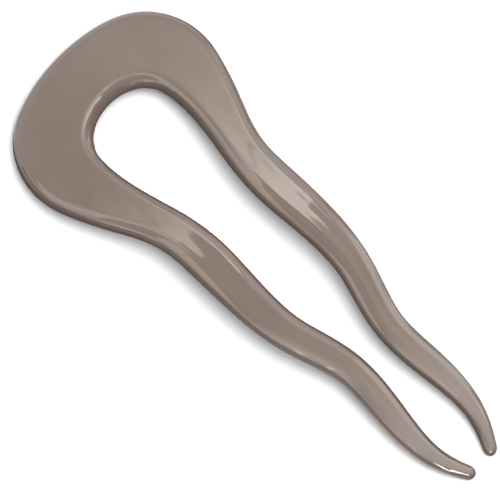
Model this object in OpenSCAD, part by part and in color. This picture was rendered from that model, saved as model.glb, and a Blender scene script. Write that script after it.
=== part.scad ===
// Two-pronged hairpin, one piece of sheet: a broad bow, two waved prongs that taper to
// turned-in tips, and every edge rounded. The bow is flat, and the prongs are bent down
// lengthwise at the waist and again before the tips. It lies hollow side down along Y, bow at
// +Y, and rests on the bow's end and the two tips.

/* [Size] */
// Scale of the outline along the pin
length_scale = 1.0; // [0.85:0.01:1.2]
// Scale of the outline across the pin
width_scale = 1.0; // [0.85:0.01:1.2]
// Scale of the thickness
thick_scale = 1.0; // [0.7:0.05:1.3]

/* [Bend] */
// Angle in degrees that the prongs bend down through at the waist
waist_bend = 13.5; // [0:0.5:25]
// Angle in degrees that they bend down through before the tips
tip_bend = 6.5; // [0:0.5:15]

/* [Finish] */
// How far each face stands proud at the middle of its width
crown = 0.0; // [0:0.05:0.4]
// Length of the rounded nose past the last section of a prong
nose = 2.0; // [1:0.1:2.6]

/* [Detail] */
// Rings of points from one section to the next
rings_per_section = 4; // [2:1:5]
// Points on the rounding of each edge
edge_points = 11; // [7:2:15]

/* [Hidden] */

// Names of the columns in the table of sections, all in mm on the flat sheet
ACROSS = 0;
ALONG = 1;
WIDE = 2;
THICK = 3;
ROUND_OUT = 4;
ROUND_IN = 5;

// One row for each section, from the middle of the bow down to the tip of the +X prong:
// centre of the section across from the pin's axis, and along from the bow's end,
// width, thickness, and how far the rounding of the outer and the inner edge reaches in
sections = [
    [0.0, 7.5, 15.1, 4.8, 2.6, 3.2],
    [8.4, 8.7, 15.8, 4.8, 2.6, 3.2],
    [15.5, 12.1, 17.9, 4.8, 2.6, 3.0],
    [18.8, 18.7, 17.2, 4.8, 2.5, 2.6],
    [17.9, 25.2, 14.1, 4.8, 2.4, 2.2],
    [16.5, 31.2, 12.0, 4.7, 2.4, 2.2],
    [13.9, 38.4, 9.6, 4.6, 2.6, 2.4],
    [11.8, 45.5, 9.3, 4.5, 2.8, 2.6],
    [11.4, 53.6, 10.3, 4.4, 3.0, 2.8],
    [11.9, 62.7, 9.6, 4.3, 2.8, 2.8],
    [11.9, 70.8, 8.8, 4.2, 2.8, 2.8],
    [11.0, 77.9, 8.0, 4.1, 2.8, 2.8],
    [8.5, 85.0, 7.8, 4.0, 2.8, 2.8],
    [6.6, 91.5, 7.2, 3.9, 2.7, 2.7],
    [6.5, 97.6, 7.2, 3.8, 2.7, 2.7],
    [7.2, 104.2, 7.0, 3.6, 2.6, 2.6],
    [7.8, 110.8, 6.1, 3.4, 2.4, 2.4],
    [7.6, 117.4, 4.8, 3.2, 2.1, 2.1],
    [5.8, 123.0, 3.8, 2.9, 1.7, 1.7],
    [3.9, 126.5, 3.2, 2.6, 1.5, 1.5],
];
last = len(sections) - 1;

// Names of the columns in the table of bends, and its rows from the bow to the tips: middle
// and length of each bend in mm along the sheet, and its angle in degrees
MIDDLE = 0;
LENGTH = 1;
ANGLE = 2;
bends = [
    [53, 60, waist_bend],
    [114, 44, tip_bend],
];

// Angles round the nose at which its rings stand, the last one just short of its pole
nose_turns = [22.5, 45, 67.5];
half_turn = 180;
quarter_turn = 90;

// A row with the size settings applied
function scaled(row) = [
    row[ACROSS] * width_scale,
    row[ALONG] * length_scale,
    row[WIDE] * width_scale,
    row[THICK] * thick_scale,
    row[ROUND_OUT] * thick_scale,
    row[ROUND_IN] * thick_scale
];

// A row seen in the mirror, for the -X prong
function mirrored(row) = [for (i = [0 : len(row) - 1]) i == ACROSS ? -row[i] : row[i]];

// Row i of the whole pin: 0 is the middle of the bow, negative rows are the -X prong,
// and one row past each tip carries the last step on so that the curve ends on the tip
function whole_row(i) =
    i < 0 ? mirrored(whole_row(-i)) :
    i > last ? 2 * scaled(sections[last]) - scaled(sections[last - 1]) :
    scaled(sections[i]);

// Weights of four neighbouring rows in a cubic B-spline, and in its slope, u from 0 to 1
function spline_weights(u) = [
    pow(1 - u, 3),
    3 * pow(u, 3) - 6 * u * u + 4,
    -3 * pow(u, 3) + 3 * u * u + 3 * u + 1,
    pow(u, 3)
] / 6;
function slope_weights(u) = [
    -pow(1 - u, 2),
    3 * u * u - 4 * u,
    -3 * u * u + 2 * u + 1,
    u * u
] / 2;

// The four rows round place s, blended by the given weights
function span(s) = min(floor(s), last - 1);
function blended(s, weights) = weights * [for (k = [-1 : 2]) whole_row(span(s) + k)];
function station(s) = blended(s, spline_weights(s - span(s)));
function heading(s) =
    let (slope = blended(s, slope_weights(s - span(s))), run = [slope[ACROSS], slope[ALONG]])
    run / norm(run);

// Half of an edge's rounding, a quarter ellipse each side of the middle, as [out, up] from
// the line where the rounding starts
function edge(reach, half_t) = [
    for (k = [0 : edge_points - 1])
        let (turn = quarter_turn - half_turn * k / (edge_points - 1))
        [reach * cos(turn), half_t * sin(turn)]
];

// Closed outline of a section as [out, up]: over the outer edge, back under the face,
// round the inner edge, and over the upper face, each face with its crown
function outline(half_w, half_t, out_reach, in_reach, rise) =
    let (
        outer = edge(out_reach, half_t),
        inner = edge(in_reach, half_t),
        out_line = half_w - out_reach,
        in_line = half_w - in_reach,
        middle = (out_line - in_line) / 2
    )
    concat(
        [for (p = outer) [out_line + p[0], p[1]]],
        [[middle, -half_t - rise]],
        [for (k = [edge_points - 1 : -1 : 0]) [-in_line - inner[k][0], inner[k][1]]],
        [[middle, half_t + rise]]
    );

// Ring of points at place s on the flat sheet. On the nose, turn goes from 0 to 90 degrees
// as the ring moves out and closes up, like a section of an ellipsoid.
function ring(s, turn) =
    let (
        row = station(s),
        ahead = heading(s),
        outward = [ahead[1], -ahead[0]],
        size = cos(turn),
        step = nose * sin(turn) * sign(s),
        centre = [row[ACROSS], row[ALONG]] + step * ahead,
        half_w = size * row[WIDE] / 2,
        half_t = size * row[THICK] / 2,
        out_reach = min(size * row[ROUND_OUT], half_w),
        in_reach = min(size * row[ROUND_IN], half_w)
    )
    [
        for (p = outline(half_w, half_t, out_reach, in_reach, size * crown))
            [centre[0] + p[0] * outward[0], centre[1] + p[0] * outward[1], p[1]]
    ];

// The pole of the nose, which closes the skin at a tip
function pole(s) =
    let (row = station(s), centre = [row[ACROSS], row[ALONG]] + nose * sign(s) * heading(s))
    [centre[0], centre[1], 0];

// All rings from the -X tip over the bow to the +X tip
steps = last * rings_per_section;
rings = concat(
    [for (k = [len(nose_turns) - 1 : -1 : 0]) ring(-last, nose_turns[k])],
    [for (k = [-steps : steps]) ring(k / rings_per_section, 0)],
    [for (turn = nose_turns) ring(last, turn)]
);
ring_size = len(rings[0]);
flat_points = concat([pole(-last)], [for (r = rings, p = r) p], [pole(last)]);

// How far the sheet has turned down at a place along it. Each bend starts and ends gently,
// on the curve 3u^2 - 2u^3 from 0 to 1.
function ease(u) = let (v = min(max(u, 0), 1)) v * v * (3 - 2 * v);
function bent_by(along) = [
    for (b = bends) ease((along / length_scale - b[MIDDLE]) / b[LENGTH] + 0.5) * b[ANGLE]
] * [for (b = bends) 1];

// The side view of the sheet's middle as [along, y, z], followed in short straight steps
path_step = 0.5;
path_start = min([for (p = flat_points) p[1]]) - path_step;
path_end = max([for (p = flat_points) p[1]]) + path_step;
path = [
    for (
        along = path_start, y = 0, z = 0;
        along <= path_end;
        y = y - path_step * cos(bent_by(along + path_step / 2)),
        z = z - path_step * sin(bent_by(along + path_step / 2)),
        along = along + path_step
    )
    [along, y, z]
];
path_y = [for (p = path) [p[0], p[1]]];
path_z = [for (p = path) [p[0], p[2]]];

// Lays a flat point on that path, square to it by its height in the sheet
function bent(p) =
    let (turn = bent_by(p[1]))
    [p[0], lookup(p[1], path_y) - p[2] * sin(turn), lookup(p[1], path_z) + p[2] * cos(turn)];
bent_points = [for (p = flat_points) bent(p)];

// Tips the pin until the bow's end and the tips touch one level surface. The lowest points
// move along the rounded edges as it turns, so this is done again from the new ones.
function middle_y(pts) = (min([for (p = pts) p[1]]) + max([for (p = pts) p[1]])) / 2;
function lowest(pts) = min([for (p = pts) p[2]]);
function y_of_lowest(pts) = let (low = lowest(pts)) [for (p = pts) if (p[2] == low) p[1]][0];
function tipped(pts) =
    let (
        mid = middle_y(pts),
        bow = [for (p = pts) if (p[1] > mid) p],
        tips = [for (p = pts) if (p[1] < mid) p],
        turn = atan2(lowest(bow) - lowest(tips), y_of_lowest(bow) - y_of_lowest(tips))
    )
    [
        for (p = pts)
            [p[0], p[1] * cos(turn) + p[2] * sin(turn), p[2] * cos(turn) - p[1] * sin(turn)]
    ];
level_points = tipped(tipped(tipped(bent_points)));

// Puts the middle of the pin's length on the origin and its lowest points on the surface
points = [for (p = level_points) p - [0, middle_y(level_points), lowest(level_points)]];

// Four-sided faces between neighbouring rings, and a fan of triangles on each pole,
// all clockwise seen from outside
first_pole = 0;
last_pole = len(points) - 1;
last_ring = len(rings) - 1;
function at(r, k) = 1 + r * ring_size + k % ring_size;
faces = concat(
    [for (k = [0 : ring_size - 1]) [first_pole, at(0, k + 1), at(0, k)]],
    [
        for (r = [0 : last_ring - 1], k = [0 : ring_size - 1])
            [at(r, k), at(r, k + 1), at(r + 1, k + 1), at(r + 1, k)]
    ],
    [for (k = [0 : ring_size - 1]) [last_pole, at(last_ring, k), at(last_ring, k + 1)]]
);

module hairpin()
    color([0.55, 0.49, 0.46])
        polyhedron(points = points, faces = faces);

hairpin();
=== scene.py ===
import bpy
import numpy as np
from mathutils import Matrix, Vector


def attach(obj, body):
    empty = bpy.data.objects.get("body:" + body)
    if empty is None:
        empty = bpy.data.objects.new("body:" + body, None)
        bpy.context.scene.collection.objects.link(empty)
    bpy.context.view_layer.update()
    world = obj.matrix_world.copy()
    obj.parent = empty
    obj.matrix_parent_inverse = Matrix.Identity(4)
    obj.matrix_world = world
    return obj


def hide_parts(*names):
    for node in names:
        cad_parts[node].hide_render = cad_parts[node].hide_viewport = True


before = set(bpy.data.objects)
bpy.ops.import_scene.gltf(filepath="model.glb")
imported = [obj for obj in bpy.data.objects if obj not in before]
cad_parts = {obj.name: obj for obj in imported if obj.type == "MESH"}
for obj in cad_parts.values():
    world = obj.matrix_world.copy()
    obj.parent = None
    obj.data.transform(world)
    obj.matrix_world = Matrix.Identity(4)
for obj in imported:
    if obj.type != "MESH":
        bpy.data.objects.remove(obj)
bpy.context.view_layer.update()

# Hairpin of one piece: a broad flat bow and two waved prongs, cut from acetate sheet, rounded
# on every edge and polished, with the prongs bent down lengthwise at the waist and before the
# tips. Blender works in metres; the shape is worked out in mm and scaled at the end.
MM = 0.001

# Sections across the pin in mm on the flat sheet, from the middle of the bow to the +X tip:
# centre across from the axis and along from the bow's end, width, thickness, and how far the
# rounding of the outer and the inner edge reaches in
ACROSS, ALONG, WIDE, THICK, ROUND_OUT, ROUND_IN = range(6)
SECTIONS = np.array([
    [0.0, 7.5, 15.1, 4.8, 2.6, 3.2],
    [8.4, 8.7, 15.8, 4.8, 2.6, 3.2],
    [15.5, 12.1, 17.9, 4.8, 2.6, 3.0],
    [18.8, 18.7, 17.2, 4.8, 2.5, 2.6],
    [17.9, 25.2, 14.1, 4.8, 2.4, 2.2],
    [16.5, 31.2, 12.0, 4.7, 2.4, 2.2],
    [13.9, 38.4, 9.6, 4.6, 2.6, 2.4],
    [11.8, 45.5, 9.3, 4.5, 2.8, 2.6],
    [11.4, 53.6, 10.3, 4.4, 3.0, 2.8],
    [11.9, 62.7, 9.6, 4.3, 2.8, 2.8],
    [11.9, 70.8, 8.8, 4.2, 2.8, 2.8],
    [11.0, 77.9, 8.0, 4.1, 2.8, 2.8],
    [8.5, 85.0, 7.8, 4.0, 2.8, 2.8],
    [6.6, 91.5, 7.2, 3.9, 2.7, 2.7],
    [6.5, 97.6, 7.2, 3.8, 2.7, 2.7],
    [7.2, 104.2, 7.0, 3.6, 2.6, 2.6],
    [7.8, 110.8, 6.1, 3.4, 2.4, 2.4],
    [7.6, 117.4, 4.8, 3.2, 2.1, 2.1],
    [5.8, 123.0, 3.8, 2.9, 1.7, 1.7],
    [3.9, 126.5, 3.2, 2.6, 1.5, 1.5],
])
# Smooth bends of the sheet: middle and length in mm along it, and angle in degrees
MIDDLE, LENGTH, ANGLE = range(3)
BENDS = np.array([
    [53, 60, 13.5],
    [114, 44, 6.5],
])
# The polishing wheel leaves each flat very slightly hollow at its middle
HOLLOW = 0.02
# Length of the rounded nose past the last section of a prong
NOSE = 2.0
# Rings from one section to the next and on each nose, points round an edge, and points across
# a face between two edges
RINGS_PER_SECTION = 14
NOSE_RINGS = 12
EDGE_POINTS = 25
FACE_POINTS = 13
# Step in mm in which the bent sheet is followed, how far past its ends, and how often the pin
# is levelled
PATH_STEP = 0.25
PATH_MARGIN = 1
LEVELLINGS = 3
# Where the gap's inner corner starts and ends and how softly, in sections from the middle of
# the bow, how often its rings are averaged with their neighbours, and how fast that fades over
# the width of a section, which is taken as no less than so many mm
CORNER_FROM = 0.3
CORNER_TO = 5.0
CORNER_SOFT = 1.2
CORNER_PASSES = 40
CORNER_FADE = 0.7
LEAST_WIDE = 0.1


def nose_stations(end, heading, sign):
    """Places on the rounded nose past an end row: the centre moves out by the nose's length
    times the sine, and the section shrinks with the cosine, of an angle from 0 to 90 degrees."""
    turn = np.linspace(0, np.pi / 2, NOSE_RINGS + 1)[1:]
    value = np.repeat(end[None], NOSE_RINGS, axis=0)
    value[:, :2] += sign * NOSE * np.sin(turn)[:, None] * heading
    return value, np.repeat(heading[None], NOSE_RINGS, axis=0), np.cos(turn)


def pin_stations():
    """Places along the pin with the heading there, and the shrinking of the section on a nose.

    The rows are mirrored for the -X prong, one step is carried on past each tip, and a
    cubic B-spline with the rows as its control points gives every value and its slope.
    """
    mirror = SECTIONS[:0:-1] * [-1, 1, 1, 1, 1, 1]
    rows = np.vstack([mirror, SECTIONS])
    rows = np.vstack([2 * rows[0] - rows[1], rows, 2 * rows[-1] - rows[-2]])
    spans = len(rows) - 3
    place = np.linspace(0, spans, spans * RINGS_PER_SECTION + 1)
    first = np.minimum(place.astype(int), spans - 1)
    u = (place - first)[:, None]
    weights = [(1 - u) ** 3, 3 * u**3 - 6 * u**2 + 4, -3 * u**3 + 3 * u**2 + 3 * u + 1, u**3]
    slopes = [-((1 - u) ** 2), 3 * u**2 - 4 * u, -3 * u**2 + 2 * u + 1, u**2]
    near = np.stack([rows[first + k] for k in range(4)], axis=1)
    value = np.einsum("pk,pkc->pc", np.hstack(weights) / 6, near)
    slope = np.einsum("pk,pkc->pc", np.hstack(slopes) / 2, near)[:, :2]
    heading = slope / np.linalg.norm(slope, axis=1, keepdims=True)

    head, head_way, head_size = nose_stations(value[0], heading[0], -1)
    tail, tail_way, tail_size = nose_stations(value[-1], heading[-1], 1)
    value = np.vstack([head[::-1], value, tail])
    heading = np.vstack([head_way[::-1], heading, tail_way])
    size = np.concatenate([head_size[::-1], np.ones(len(place)), tail_size])
    return value, heading, size


def section_outline(wide, thick, reach_out, reach_in, hollow):
    """Closed outlines [section, point, (out, up)], one for each section.

    Each edge is half an ellipse that reaches in by its rounding and stands half the
    thickness up and down. Between them each face sinks by the hollow times (1 - s^2)^2,
    where s runs from -1 to 1 across the face, so face and edge share their tangent.
    """
    half_w = wide[:, None] / 2
    half_t = thick[:, None] / 2
    out_line = half_w - reach_out[:, None]
    in_line = half_w - reach_in[:, None]
    turn = np.linspace(np.pi / 2, -np.pi / 2, EDGE_POINTS)[None]
    across = np.linspace(1, -1, FACE_POINTS + 2)[None, 1:-1]
    middle = (out_line - in_line) / 2
    span = (out_line + in_line) / 2
    rise = half_t - hollow[:, None] * (1 - across**2) ** 2
    outer = np.stack([out_line + reach_out[:, None] * np.cos(turn), half_t * np.sin(turn)], axis=2)
    under = np.stack([middle + span * across, -rise], axis=2)
    inner = np.stack([-in_line - reach_in[:, None] * np.cos(turn), -half_t * np.sin(turn)], axis=2)
    upper = np.stack([middle - span * across, rise], axis=2)
    return np.concatenate([outer, under, inner, upper], axis=1)


def soft_step(value):
    """0 below 0, 1 above 1, and 3u^2 - 2u^3 between them."""
    u = np.clip(value, 0, 1)
    return u**2 * (3 - 2 * u)


def turned_down(along):
    """Angle that the sheet has turned down at a place along it: each bend adds its angle times
    a soft step over its length."""
    place = np.asarray(along)[..., None]
    share = soft_step((place - BENDS[:, MIDDLE]) / BENDS[:, LENGTH] + 0.5)
    return (np.radians(BENDS[:, ANGLE]) * share).sum(axis=-1)


def bent(flat):
    """Lays flat-sheet points on the side view of the bent sheet. Its middle line advances by
    the cosine and sinks by the sine of the angle turned, summed in short steps, and a point
    stands square to it by its height in the sheet."""
    x, along, up = flat[..., 0], flat[..., 1], flat[..., 2]
    mark = np.arange(along.min() - PATH_MARGIN, along.max() + PATH_MARGIN, PATH_STEP)
    step_turn = turned_down(mark[:-1] + PATH_STEP / 2)
    ahead = np.concatenate([[0], np.cumsum(np.cos(step_turn))]) * PATH_STEP
    sunk = np.concatenate([[0], np.cumsum(np.sin(step_turn))]) * PATH_STEP
    turn = turned_down(along)
    y = -np.interp(along, mark, ahead) - up * np.sin(turn)
    z = -np.interp(along, mark, sunk) + up * np.cos(turn)
    return np.stack([x, y, z], axis=-1)


def levelled(points):
    """Turns the pin about X until the lowest points of its bow and of its tips lie level. They
    move along the rounded edges as it turns, so it is done again from the new ones. Then the
    pin is set down with its middle over the origin."""
    x, y, z = points[..., 0], points[..., 1], points[..., 2]
    for _ in range(LEVELLINGS):
        bow = y > (y.min() + y.max()) / 2
        low_bow = z[bow].argmin()
        low_tip = z[~bow].argmin()
        turn = np.arctan2(z[bow][low_bow] - z[~bow][low_tip], y[bow][low_bow] - y[~bow][low_tip])
        y, z = y * np.cos(turn) + z * np.sin(turn), z * np.cos(turn) - y * np.sin(turn)
    return np.stack([x, y - (y.min() + y.max()) / 2, z - z.min()], axis=-1)


def even_corners(plan, across):
    """Evens out the gap's two inner corners, as sanding does. Near them each ring moves towards
    the running average of its neighbours, by a share that is a soft step of 0.5 less the fade
    times the place across, from -0.5 at the inner edge to 0.5 at the outer one. So it moves
    nearly all the way at the inner edge and hardly at all at the outer one."""
    even = plan.copy()
    for _ in range(CORNER_PASSES):
        even[1:-1] = (even[:-2] + 2 * even[1:-1] + even[2:]) / 4
    number = np.arange(len(plan))
    place = np.abs(number - number[-1] / 2) / RINGS_PER_SECTION
    near = soft_step((place - CORNER_FROM) / CORNER_SOFT) * soft_step((CORNER_TO - place) / CORNER_SOFT)
    share = near[:, None] * soft_step(0.5 - CORNER_FADE * across)
    return plan + share[..., None] * (even - plan)


def ring_faces(rings, count, start):
    """Four-sided faces from each ring of points to the next, where the first point of the
    first ring has the number start."""
    r, k = np.meshgrid(np.arange(rings - 1), np.arange(count), indexing="ij")
    a = start + r * count + k
    b = start + r * count + (k + 1) % count
    return np.stack([a, b, b + count, a + count], axis=2).reshape(-1, 4)


def make_pin():
    """The skin of the pin: the section outlines carried along the spline, bent and levelled,
    with one point at the pole of each nose and a fan of triangles round it."""
    value, heading, size = pin_stations()
    wide = value[:, WIDE] * size
    thick = value[:, THICK] * size
    reach_out = np.minimum(value[:, ROUND_OUT] * size, wide / 2)
    reach_in = np.minimum(value[:, ROUND_IN] * size, wide / 2)
    outline = section_outline(wide, thick, reach_out, reach_in, HOLLOW * size)
    outward = np.stack([heading[:, 1], -heading[:, 0]], axis=1)
    plan = value[:, None, :2] + outline[..., :1] * outward[:, None]
    plan = even_corners(plan, outline[..., 0] / np.maximum(wide, LEAST_WIDE)[:, None])
    flat = np.concatenate([plan, outline[..., 1:]], axis=2)
    solid = levelled(bent(flat)) * MM

    rings = solid.shape[0] - 2
    count = solid.shape[1]
    points = np.concatenate([solid[:1, 0], solid[1:-1].reshape(-1, 3), solid[-1:, 0]])
    here = np.arange(count)
    after = (here + 1) % count
    last_pole = np.full(count, len(points) - 1)
    last_ring = 1 + (rings - 1) * count
    first_fan = np.stack([np.zeros_like(here), 1 + after, 1 + here], axis=1)
    last_fan = np.stack([last_pole, last_ring + here, last_ring + after], axis=1)
    faces = ring_faces(rings, count, 1).tolist() + first_fan.tolist() + last_fan.tolist()
    mesh = bpy.data.meshes.new("hairpin_skin")
    mesh.from_pydata(points.tolist(), [], faces)
    mesh.polygons.foreach_set("use_smooth", np.ones(len(mesh.polygons), dtype=bool))
    mesh.update()
    pin = bpy.data.objects.new("hairpin_skin", mesh)
    bpy.context.scene.collection.objects.link(pin)
    return pin


def linear(code):
    """An sRGB hex colour as the linear values that the shaders take."""
    value = np.array([int(code[i : i + 2], 16) for i in (0, 2, 4)]) / 255
    return (*np.where(value <= 0.04045, value / 12.92, ((value + 0.055) / 1.055) ** 2.4), 1)


def add(tree, kind, *values, **settings):
    """Adds one node and gives it back. The settings go into its attributes or its inputs by
    name, and the values into its inputs in order. A node or a node's output among them is
    linked, a node by its first output."""
    node = tree.nodes.new("ShaderNode" + kind)
    for name, value in [*settings.items(), *enumerate(values)]:
        if isinstance(value, bpy.types.Node):
            value = value.outputs[0]
        if isinstance(name, str) and name not in node.inputs:
            setattr(node, name, value)
        elif isinstance(value, bpy.types.NodeSocket):
            tree.links.new(value, node.inputs[name])
        else:
            node.inputs[name].default_value = value
    return node


def empty_material(name):
    """A new material without any nodes."""
    material = bpy.data.materials.new(name)
    material.use_nodes = True
    material.node_tree.nodes.clear()
    return material


# Opaque taupe of the sheet, and the tones that it clouds between
TAUPE_DEEP = "807066"
TAUPE_PALE = "87776d"
# Places of a Mix node's colour sockets, whose names its number sockets share
COLOUR_A, COLOUR_B, COLOUR_OUT = 6, 7, 2
# Patterns of the sheet, each a row: size of a patch in mm, how many finer layers it has, two
# values of the noise, and what these two become. Clouds and pigment grains are shares of the
# pale tone. The grains are a few hundredths of a mm, too fine to show, so they are drawn about
# two pixels of the render wide. Wear is the roughness of the polish.
CLOUDS = (7.0, 3, 0.3, 0.7, 0.15, 0.85)
GRAINS = (0.4, 1, 0.3, 0.7, -0.3, 0.3)
WEAR = (12.0, 3, 0.35, 0.7, 0.03, 0.07)
# Long and short waves that the polishing wheel leaves: how long and how deep, in mm
WAVES = [
    (8.0, 0.022),
    (2.6, 0.004),
]
# How strongly acetate bends light, and the tint of what it mirrors
ACETATE_IOR = 1.48
SHEEN_TINT = "fff7ef"


def pattern(tree, place, size, layers, *values):
    """Soft patches of about the given size, with their values stretched as a row says."""
    noise = add(tree, "TexNoise", place, Scale=1 / (size * MM), Detail=layers)
    return add(tree, "MapRange", noise, *values)


def polished_acetate():
    """Cellulose acetate sheet, cut, tumbled and buffed on a wheel.

    The colour is in the sheet itself, so the eye sees one even, opaque taupe with only faint
    clouds and specks. Buffing makes it mirror-like: lamps show with crisp edges, which waver a
    little where the wheel left shallow waves, and handling dulls it slightly in places.
    """
    material = empty_material("polished_acetate")
    tree = material.node_tree
    place = add(tree, "TexCoord").outputs["Object"]
    clouds = pattern(tree, place, *CLOUDS)
    pale = add(tree, "Math", clouds, pattern(tree, place, *GRAINS), operation="ADD")
    tone = add(tree, "Mix", pale, data_type="RGBA")
    tone.inputs[COLOUR_A].default_value = linear(TAUPE_DEEP)
    tone.inputs[COLOUR_B].default_value = linear(TAUPE_PALE)

    surface = {}
    for length, depth in WAVES:
        height = add(tree, "TexNoise", place, Scale=1 / (length * MM), Detail=0)
        surface["Normal"] = add(tree, "Bump", Distance=depth * MM, Height=height, **surface)
    surface["Base Color"] = tone.outputs[COLOUR_OUT]
    surface["Roughness"] = pattern(tree, place, *WEAR)
    surface["IOR"] = ACETATE_IOR
    surface["Specular Tint"] = linear(SHEEN_TINT)
    add(tree, "OutputMaterial", add(tree, "BsdfPrincipled", **surface))
    return material


# The camera leans off the vertical towards the -X prong and a little towards the bow, and is
# turned so that the pin's axis runs down to the right across the picture
LEAN_LEFT = np.radians(20)
LEAN_TIPS = np.radians(-1)
AXIS_TURN = np.radians(43.26)
# Focal length and sensor in mm, the nearest and farthest that shows in metres, the picture's
# width in px, and how much of the pin one px covers
LENS = 400.0
SENSOR = 36.0
NEAREST = 0.01
FARTHEST = 20.0
FRAME_PX = 500
MM_PER_PX = 0.2156
# Where the origin falls, in px along and across the pin's axis from the middle of the picture
ORIGIN_ALONG_PX = 23.2
ORIGIN_ACROSS_PX = -1.85


def add_camera():
    """A camera with a long lens, so far away that one pixel covers the stated size at the pin,
    and aimed so that the origin falls where it should."""
    scene = bpy.context.scene
    camera = bpy.data.objects.new("camera", bpy.data.cameras.new("camera"))
    scene.collection.objects.link(camera)
    camera.data.lens = LENS
    camera.data.sensor_width = SENSOR
    camera.data.clip_start = NEAREST
    camera.data.clip_end = FARTHEST
    back = Vector((-np.tan(LEAN_LEFT), -np.tan(LEAN_TIPS), 1.0)).normalized()
    tips = Vector((0, -1, 0))
    tips = (tips - back * tips.dot(back)).normalized()
    left = back.cross(tips)
    if left.x > 0:
        left = -left
    # one pixel to the right and one down, as directions in the room
    right = tips * np.cos(AXIS_TURN) - left * np.sin(AXIS_TURN)
    down = tips * np.sin(AXIS_TURN) + left * np.cos(AXIS_TURN)
    aim = -(tips * ORIGIN_ALONG_PX + left * ORIGIN_ACROSS_PX) * MM_PER_PX * MM
    distance = MM_PER_PX * MM * LENS / SENSOR * FRAME_PX
    turn = Matrix((right, -down, back)).transposed().to_4x4()
    camera.matrix_world = Matrix.Translation(aim + back * distance) @ turn
    scene.camera = camera
    return camera


# White of the paper, which is lit past white so that only shadows show on it, black of the
# card and the veil, which are painted shade, and how rough paper and card are
PAPER_WHITE = "d4d4d4"
BLACK = "000000"
PAPER_ROUGH = 0.9
# Width of the paper in metres
PAPER_WIDE = 6.0


def matt_paper(name, colour):
    """Uncoated paper or card: one even colour from every side, without any gloss."""
    material = empty_material(name)
    tree = material.node_tree
    surface = {"Base Color": linear(colour), "Roughness": PAPER_ROUGH, "Specular IOR Level": 0}
    add(tree, "OutputMaterial", add(tree, "BsdfPrincipled", **surface))
    return material


def add_floor():
    """A sheet of paper to lie on. The pin's polish doesn't show it, so its lower sides stay
    dark, as in a room whose light comes from above."""
    bpy.ops.mesh.primitive_plane_add(size=PAPER_WIDE, location=(0, 0, 0))
    floor = bpy.context.object
    floor.name = "floor"
    floor.visible_diffuse = False
    floor.visible_glossy = False
    floor.data.materials.append(matt_paper("white_paper", PAPER_WHITE))
    return floor


# The lamp over the paper: how far it leans towards -X, how wide it looks, and its strength
LAMP_LEAN = np.radians(5)
LAMP_WIDE = np.radians(40)
LAMP_POWER = 3.5


def add_floor_lamp(floor):
    """A wide lamp, nearly overhead, that shines on the paper alone and casts the pin's soft
    shadow on it."""
    light = bpy.data.lights.new("floor_lamp", "SUN")
    light.energy = LAMP_POWER
    light.angle = LAMP_WIDE
    lamp = bpy.data.objects.new("floor_lamp", light)
    lamp.rotation_euler = (0, -LAMP_LEAN, 0)
    bpy.context.scene.collection.objects.link(lamp)
    lit = bpy.data.collections.new("lit_by_floor_lamp")
    lit.objects.link(floor)
    lamp.light_linking.receiver_collection = lit
    return lamp


# A light tent stands round the table, and the pin's polish mirrors it. Places on it are in mm
# from the middle of the pin: how high its roof is, and how far it reaches along X and Y either
# way. A name with SOFT is how far a patch of light fades to either side of its edge.
ROOF_UP = 300
ROOF_X = 830
ROOF_Y = 880
# The roof's window has three panes. Two end level below at a hem, apart from a tongue that
# hangs lower: the ends of a pane along X, the X and the lowest Y of its tongue, how far the
# hem stands above that, and how bright the pane is at most. Both tongues have one half width.
PANE_LOW, PANE_HIGH, TONGUE_X, TONGUE_Y, HEM_RISE, PANE_MOST = range(6)
PANES = [
    (50, 112, 100, 20, 24, 4.4),
    (112, 180, 125, -48, 27, 7.0),
]
TONGUE_HALF = 9.4
HEM_SOFT = 2
PANE_SOFT = 1
# The third pane, at their left, is dimmer, and its hem slants up: the pane's ends along X, the
# two X that the slant runs between and the hem's Y at these, and how bright the pane is
DIM_PANE = (-500, 50)
DIM_HEM_X = (-300, -60)
DIM_HEM_Y = (-60, 32)
DIM_HEM_SOFT = 4
DIM_GLOW = 2.7
# A limit on the window's light falls towards the bow: its values at two X at Y 0, and how much
# it falls for each mm of Y
FADE_X = (75, 140)
FADE_FROM = (5.4, 8.3)
FADE_PER_MM = 0.05
# A rib crosses the window on the slant: its ends, its width, and the share of the light that
# it holds back
RIB = ((-160, 380), (180, -15))
RIB_WIDE = 6.0
RIB_DARK = 0.5
# The rib and the tubes are straight bars, with ends softer than their sides
BAR_END_SOFT = 5
BAR_SIDE_SOFT = 2
# The side window's near edge is a wide V: the X and Y of its point, and how far it opens along
# X for each mm of Y. Its brightness changes between two X, and it ends at one Y.
SIDE_POINT = (170, -140)
SIDE_OPENING = 0.3
SIDE_SOFT = 12
SIDE_FADE = (225, 700)
SIDE_GLOW = (2.5, 1.7)
SIDE_END = 110
SIDE_END_SOFT = 10
# A strip of pale cloth lies before it, from one X on and between two Y
PALE_FROM = 104
PALE_FROM_SOFT = 3
PALE_Y = (-280, -100)
PALE_Y_SOFT = 10
PALE_GLOW = 1.9
# The roof beyond the tips brightens from the first Y to the second and ends at a third, and it
# is brighter at the left than at the right of these X
TIPS_Y = (-75, -165)
TIPS_END = -330
TIPS_END_SOFT = 20
TIPS_X = (-150, -60)
TIPS_GLOW = (3.3, 2.9)
# Cloth on the roof glows more and more from one X out to the other, at the left and the right,
# and from one Y to the other towards the bow
LEFT_CLOTH = (-170, -420)
LEFT_GLOW = 1.8
RIGHT_CLOTH = (98, 128)
RIGHT_GLOW = 0.9
BOW_CLOTH = (150, 450)
BOW_GLOW = 1.3
# A brighter band of cloth at the left of the bow, from one X out to the other, between two Y
BAND_X = (-60, -120)
BAND_Y = (45, 190)
BAND_Y_SOFT = 12
BAND_GLOW = 2.7
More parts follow.
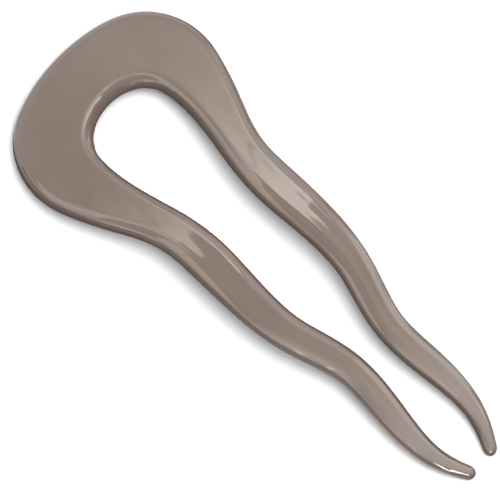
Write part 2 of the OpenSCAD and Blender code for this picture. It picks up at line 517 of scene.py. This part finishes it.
# Tube lamps on the roof, three at the left of the tips and one at the right: start, end, width
# and brightness
TUBES = [
    ((-70, -385), (-650, -865), 84, 24.0),
    ((-245, -378), (-650, -815), 70, 24.0),
    ((-190, -195), (-560, -400), 16, 4.0),
    ((260, -250), (640, -430), 70, 2.5),
]
# The right wall: its brightness changes between two Y, and a pane and a lamp on it add theirs,
# each between two Y
WALL_Y = (125, 155)
WALL_GLOW = (0.8, 2.0)
WALL_PANE = (-45, 65)
WALL_PANE_GLOW = 1.3
FOOT_LAMP = (-330, -185)
FOOT_GLOW = 3.4
WALL_SOFT = 20
# Brightness of the wall beyond the bow
END_GLOW = 2.5
# The ground of the tent glows too, but not under the pin and between its prongs, where the pin's
# shadow is painted on it: its height, how far that painted shadow reaches along X at two Y, and
# where it ends past the bow
GROUND_UP = -2
PAINTED_SHADOW_Y = (-60, 50)
PAINTED_SHADOW_X = (5, 24)
PAINTED_SHADOW_END = 62
PAINTED_SHADOW_SOFT = 1
# Brightness of the ground at the left and the right of the pin, each at its two Y, and past
# the bow's end. The two sides meet softly on the pin's axis.
GROUND_LEFT_Y = (20, -40)
GROUND_LEFT = (0.0, 1.2)
GROUND_RIGHT_Y = (40, 0)
GROUND_RIGHT = (0.3, 0.8)
GROUND_END = 2.0
AXIS_SOFT = 2
# Black card of painted shade that stands between the prongs, where there is only shade, and
# keeps their inner edges dark in the pin's polish, which alone shows it: the Y of each row, its
# half width, and the height of its upper edge. Its lower edge is a little above the table, like
# that of the veil.
CARD_Y, CARD_HALF, CARD_TOP = range(3)
CARD = np.array([
    [41.0, 6.4, 10.0],
    [34.0, 4.0, 10.0],
    [15.0, 2.0, 10.0],
    [-20.0, 1.0, 9.0],
    [-58.0, 0.5, 6.0],
])
CARD_LOW = 0.5
# A dark veil of painted shade hangs across the gap at the bow's edge, where there is only shade,
# and the pin's polish alone shows it: its middle, how far it reaches out from there along X and
# Z, and the share of that within which it is all dark. At its rim it is clear.
VEIL_MIDDLE = (0.0, 46.5, 5.0)
VEIL_REACH = (11.0, 16.0)
VEIL_DARK = 0.4


def only_mirrored(name, mesh):
    """Puts a mesh where the pin's polish alone shows it: the camera doesn't see it, and it
    neither lights nor shades anything."""
    thing = bpy.data.objects.new(name, mesh)
    bpy.context.scene.collection.objects.link(thing)
    thing.visible_camera = False
    thing.visible_diffuse = False
    thing.visible_shadow = False
    return thing


def between(tree, value, ends, soft):
    """1 where the value lies between two ends and 0 outside, with a straight slope at each end
    that reaches so far to either side of it."""
    rise = add(tree, "MapRange", value, ends[0] - soft, ends[0] + soft, 0, 1)
    fall = add(tree, "MapRange", value, ends[1] - soft, ends[1] + soft, 1, 0)
    return add(tree, "Math", rise, fall, operation="MULTIPLY")


def bar(tree, place, ends, width):
    """1 on a straight bar between two places, and 0 off it. How far a place lies along the bar
    and to its side is its dot product with each direction."""
    start, end = np.array(ends, dtype=float)
    ahead = (end - start) / np.linalg.norm(end - start)
    aside = np.array([-ahead[1], ahead[0]])
    middle = aside @ start
    along = add(tree, "VectorMath", place, (*ahead, 0), operation="DOT_PRODUCT").outputs["Value"]
    across = add(tree, "VectorMath", place, (*aside, 0), operation="DOT_PRODUCT").outputs["Value"]
    on_length = between(tree, along, (ahead @ start, ahead @ end), BAR_END_SOFT)
    on_width = between(tree, across, (middle - width / 2, middle + width / 2), BAR_SIDE_SOFT)
    return add(tree, "Math", on_length, on_width, operation="MULTIPLY")


def pane_glow(tree, x, y, pane):
    """One pane of the window above its hem, whose Y is that of the tongue plus half the rise
    times 1 - cos over the width of the tongue, and level beside it."""
    aside = add(tree, "Math", x, pane[TONGUE_X], operation="SUBTRACT")
    turn = add(tree, "MapRange", aside, -TONGUE_HALF, TONGUE_HALF, -np.pi, np.pi)
    cosine = add(tree, "Math", turn, operation="COSINE")
    rise = add(tree, "Math", 1, cosine, operation="SUBTRACT")
    rise = add(tree, "Math", rise, pane[HEM_RISE] / 2, operation="MULTIPLY")
    hem = add(tree, "Math", rise, pane[TONGUE_Y], operation="ADD")
    above = add(tree, "Math", y, hem, operation="SUBTRACT")
    glow = add(tree, "MapRange", above, -HEM_SOFT, HEM_SOFT, 0, pane[PANE_MOST])
    inside = between(tree, x, (pane[PANE_LOW], pane[PANE_HIGH]), PANE_SOFT)
    return add(tree, "Math", glow, inside, operation="MULTIPLY")


def window_glow(tree, x, y, place):
    """The roof's window: its panes, the limit on their light, and the rib across them."""
    hem = add(tree, "MapRange", x, *DIM_HEM_X, *DIM_HEM_Y)
    above = add(tree, "Math", y, hem, operation="SUBTRACT")
    glow = add(tree, "MapRange", above, -DIM_HEM_SOFT, DIM_HEM_SOFT, 0, DIM_GLOW)
    glow = add(tree, "Math", glow, between(tree, x, DIM_PANE, PANE_SOFT), operation="MULTIPLY")
    for pane in PANES:
        glow = add(tree, "Math", pane_glow(tree, x, y, pane), glow, operation="ADD")
    fall = add(tree, "Math", y, FADE_PER_MM, operation="MULTIPLY")
    limit = add(tree, "MapRange", x, *FADE_X, *FADE_FROM)
    limit = add(tree, "Math", limit, fall, operation="SUBTRACT")
    limit = add(tree, "Math", limit, 0, operation="MAXIMUM")
    glow = add(tree, "Math", glow, limit, operation="MINIMUM")
    rib = add(tree, "Math", bar(tree, place, RIB, RIB_WIDE), RIB_DARK, operation="MULTIPLY")
    kept = add(tree, "Math", 1, rib, operation="SUBTRACT")
    return add(tree, "Math", glow, kept, operation="MULTIPLY")


def side_glow(tree, x, y):
    """The side window, from its V-shaped near edge outwards, and the pale cloth before it."""
    aside = add(tree, "Math", y, SIDE_POINT[1], operation="SUBTRACT")
    aside = add(tree, "Math", aside, operation="ABSOLUTE")
    opening = add(tree, "Math", aside, SIDE_OPENING, operation="MULTIPLY")
    edge = add(tree, "Math", opening, SIDE_POINT[0], operation="ADD")
    past = add(tree, "Math", x, edge, operation="SUBTRACT")
    inside = add(tree, "MapRange", past, -SIDE_SOFT, SIDE_SOFT, 0, 1)
    glow = add(tree, "MapRange", x, *SIDE_FADE, *SIDE_GLOW)
    glow = add(tree, "Math", inside, glow, operation="MULTIPLY")
    end = add(tree, "MapRange", y, SIDE_END - SIDE_END_SOFT, SIDE_END + SIDE_END_SOFT, 1, 0)
    glow = add(tree, "Math", glow, end, operation="MULTIPLY")
    ends = (PALE_FROM - PALE_FROM_SOFT, PALE_FROM + PALE_FROM_SOFT)
    pale = add(tree, "MapRange", x, *ends, 0, PALE_GLOW)
    pale = add(tree, "Math", pale, between(tree, y, PALE_Y, PALE_Y_SOFT), operation="MULTIPLY")
    return add(tree, "Math", glow, pale, operation="ADD")


def roof_glow(tree, x, y, place):
    """Brightness of the roof: the brightest of its parts at each place, and the tubes' added."""
    tips = add(tree, "MapRange", y, *TIPS_Y, 0, 1)
    tips = add(tree, "Math", tips, add(tree, "MapRange", x, *TIPS_X, *TIPS_GLOW), operation="MULTIPLY")
    end = add(tree, "MapRange", y, TIPS_END - TIPS_END_SOFT, TIPS_END + TIPS_END_SOFT, 0, 1)
    tips = add(tree, "Math", tips, end, operation="MULTIPLY")
    smooth = {"interpolation_type": "SMOOTHSTEP"}
    left = add(tree, "MapRange", x, *LEFT_CLOTH[::-1], LEFT_GLOW, 0, **smooth)
    right = add(tree, "MapRange", x, *RIGHT_CLOTH, 0, RIGHT_GLOW, **smooth)
    cloth = add(tree, "Math", left, right, operation="ADD")
    bow = add(tree, "MapRange", y, *BOW_CLOTH, 0, BOW_GLOW)
    band = add(tree, "MapRange", x, *BAND_X[::-1], BAND_GLOW, 0)
    band = add(tree, "Math", band, between(tree, y, BAND_Y, BAND_Y_SOFT), operation="MULTIPLY")
    total = tips
    for part in (cloth, bow, band, side_glow(tree, x, y), window_glow(tree, x, y, place)):
        total = add(tree, "Math", total, part, operation="MAXIMUM")
    for start, end, width, glow in TUBES:
        tube = add(tree, "Math", bar(tree, place, (start, end), width), glow, operation="MULTIPLY")
        total = add(tree, "Math", total, tube, operation="ADD")
    return total


def right_wall_glow(tree, x, y, place):
    """Brightness of the right wall: its cloth, its pane and its lamp."""
    total = add(tree, "MapRange", y, *WALL_Y, *WALL_GLOW)
    for ends, glow in ((WALL_PANE, WALL_PANE_GLOW), (FOOT_LAMP, FOOT_GLOW)):
        patch = add(tree, "Math", between(tree, y, ends, WALL_SOFT), glow, operation="MULTIPLY")
        total = add(tree, "Math", total, patch, operation="ADD")
    return total


def end_wall_glow(tree, x, y, place):
    """Brightness of the wall beyond the bow, the same all over."""
    return END_GLOW


def ground_glow(tree, x, y, place):
    """Brightness of the ground: one for each side and one past the bow, none under the pin,
    where its shadow is painted.
    """
    left = add(tree, "MapRange", y, *GROUND_LEFT_Y, *GROUND_LEFT)
    on_left = add(tree, "MapRange", x, -AXIS_SOFT, AXIS_SOFT, 1, 0)
    left = add(tree, "Math", left, on_left, operation="MULTIPLY")
    right = add(tree, "MapRange", y, *GROUND_RIGHT_Y, *GROUND_RIGHT)
    on_right = add(tree, "MapRange", x, -AXIS_SOFT, AXIS_SOFT, 0, 1)
    right = add(tree, "Math", right, on_right, operation="MULTIPLY")
    sides = add(tree, "Math", left, right, operation="ADD")
    # The pin's painted shadow: no glow out to a reach along X, until it ends past the bow
    out = add(tree, "Math", x, operation="ABSOLUTE")
    reach = add(tree, "MapRange", y, *PAINTED_SHADOW_Y, *PAINTED_SHADOW_X)
    past = add(tree, "Math", out, reach, operation="SUBTRACT")
    lit = add(tree, "MapRange", past, -PAINTED_SHADOW_SOFT, PAINTED_SHADOW_SOFT, 0, 1)
    sides = add(tree, "Math", sides, lit, operation="MULTIPLY")
    end = add(tree, "MapRange", y, PAINTED_SHADOW_END - PAINTED_SHADOW_SOFT, PAINTED_SHADOW_END + PAINTED_SHADOW_SOFT, 0, GROUND_END)
    return add(tree, "Math", sides, end, operation="MAXIMUM")


def glowing_cloth(name, strength):
    """Sheer cloth that lets the room's light through and adds its own, which a function works
    out from the place in mm."""
    material = empty_material(name)
    tree = material.node_tree
    metres = add(tree, "TexCoord").outputs["Object"]
    place = add(tree, "VectorMath", metres, operation="SCALE", Scale=1 / MM)
    parts = add(tree, "SeparateXYZ", place)
    glow = strength(tree, parts.outputs["X"], parts.outputs["Y"], place)
    shine = add(tree, "Emission", Strength=glow)
    both = add(tree, "AddShader", shine, add(tree, "BsdfTransparent"))
    add(tree, "OutputMaterial", both)
    return material


def add_tent():
    """The tent: roof, ground, right wall, and the wall beyond the bow. Its corners are numbered
    from -X to +X, within that from -Y to +Y, and within that upwards."""
    corners = [
        (x * MM, y * MM, z * MM)
        for x in (-ROOF_X, ROOF_X)
        for y in (-ROOF_Y, ROOF_Y)
        for z in (GROUND_UP, ROOF_UP)
    ]
    sheets = {
        (1, 3, 7, 5): glowing_cloth("tent_roof", roof_glow),
        (0, 4, 6, 2): glowing_cloth("tent_ground", ground_glow),
        (4, 5, 7, 6): glowing_cloth("tent_right_wall", right_wall_glow),
        (2, 6, 7, 3): glowing_cloth("tent_end_wall", end_wall_glow),
    }
    mesh = bpy.data.meshes.new("light_tent")
    mesh.from_pydata(corners, [], list(sheets))
    for number, cloth in enumerate(sheets.values()):
        mesh.materials.append(cloth)
        mesh.polygons[number].material_index = number
    return only_mirrored("light_tent", mesh)


def add_painted_shade_card():
    """The black card of painted shade: four corners at each row, joined row by row and closed at
    both ends.
    """
    half, y, top = CARD[:, CARD_HALF], CARD[:, CARD_Y], CARD[:, CARD_TOP]
    low = np.full_like(y, CARD_LOW)
    corners = [(-half, y, low), (half, y, low), (half, y, top), (-half, y, top)]
    points = np.transpose(corners, (2, 0, 1)).reshape(-1, 3) * MM
    last = len(points) - 4
    ends = [(3, 2, 1, 0), (last, last + 1, last + 2, last + 3)]
    mesh = bpy.data.meshes.new("painted_shade_card")
    mesh.from_pydata(points.tolist(), [], ring_faces(len(CARD), 4, 0).tolist() + ends)
    # The card's black is painted shade, which only the pin's polish shows
    mesh.materials.append(matt_paper("painted_shade_card", BLACK))
    return only_mirrored("painted_shade_card", mesh)


def painted_shade_veil_material():
    """Painted shade seen only in the pin's polish: a black sheet, dense in the middle and ever
    thinner towards its rim, so that no edge of it shows. How far out a place lies is the length
    of its X and Z from the middle, each over its reach."""
    material = empty_material("painted_shade_veil")
    tree = material.node_tree
    x, y, z = VEIL_MIDDLE
    wide, high = VEIL_REACH
    place = add(tree, "TexCoord").outputs["Object"]
    offset = add(tree, "VectorMath", place, (x * MM, y * MM, z * MM), operation="SUBTRACT")
    shares = add(tree, "VectorMath", offset, (wide * MM, 1, high * MM), operation="DIVIDE")
    out = add(tree, "VectorMath", shares, operation="LENGTH").outputs["Value"]
    # The veil's black is painted shade, dense in the middle and clear at its rim
    dense = add(tree, "MapRange", out, VEIL_DARK, 1, 1, 0)
    clear = add(tree, "BsdfTransparent")
    black = add(tree, "BsdfDiffuse", linear(BLACK))
    add(tree, "OutputMaterial", add(tree, "MixShader", dense, clear, black))
    return material


def add_painted_shade_veil():
    """The veil of painted shade: one upright sheet across the gap."""
    x, y, z = VEIL_MIDDLE
    wide, high = VEIL_REACH
    corners = np.array([
        (x - wide, y, CARD_LOW),
        (x + wide, y, CARD_LOW),
        (x + wide, y, z + high),
        (x - wide, y, z + high),
    ])
    mesh = bpy.data.meshes.new("painted_shade_veil")
    mesh.from_pydata((corners * MM).tolist(), [], [(0, 1, 2, 3)])
    mesh.materials.append(painted_shade_veil_material())
    return only_mirrored("painted_shade_veil", mesh)


# Brightness of the room straight overhead, and at the table's level and below it
ROOM_TOP = 1.72
ROOM_LOW = 0.12


def add_world():
    """A plain room, brightest overhead and dark below the level of the table."""
    world = bpy.data.worlds.new("studio")
    bpy.context.scene.world = world
    world.use_nodes = True
    tree = world.node_tree
    tree.nodes.clear()
    way = add(tree, "TexCoord").outputs["Generated"]
    height = add(tree, "SeparateXYZ", way).outputs["Z"]
    bright = add(tree, "MapRange", height, 0, 1, ROOM_LOW, ROOM_TOP)
    add(tree, "OutputWorld", add(tree, "Background", Strength=bright))


pin = make_pin()
pin.data.materials.append(polished_acetate())
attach(pin, "root")
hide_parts("hairpin")
add_floor_lamp(add_floor())
add_tent()
add_painted_shade_card()
add_painted_shade_veil()
add_world()
add_camera()
bpy.context.scene.view_settings.view_transform = "Standard"
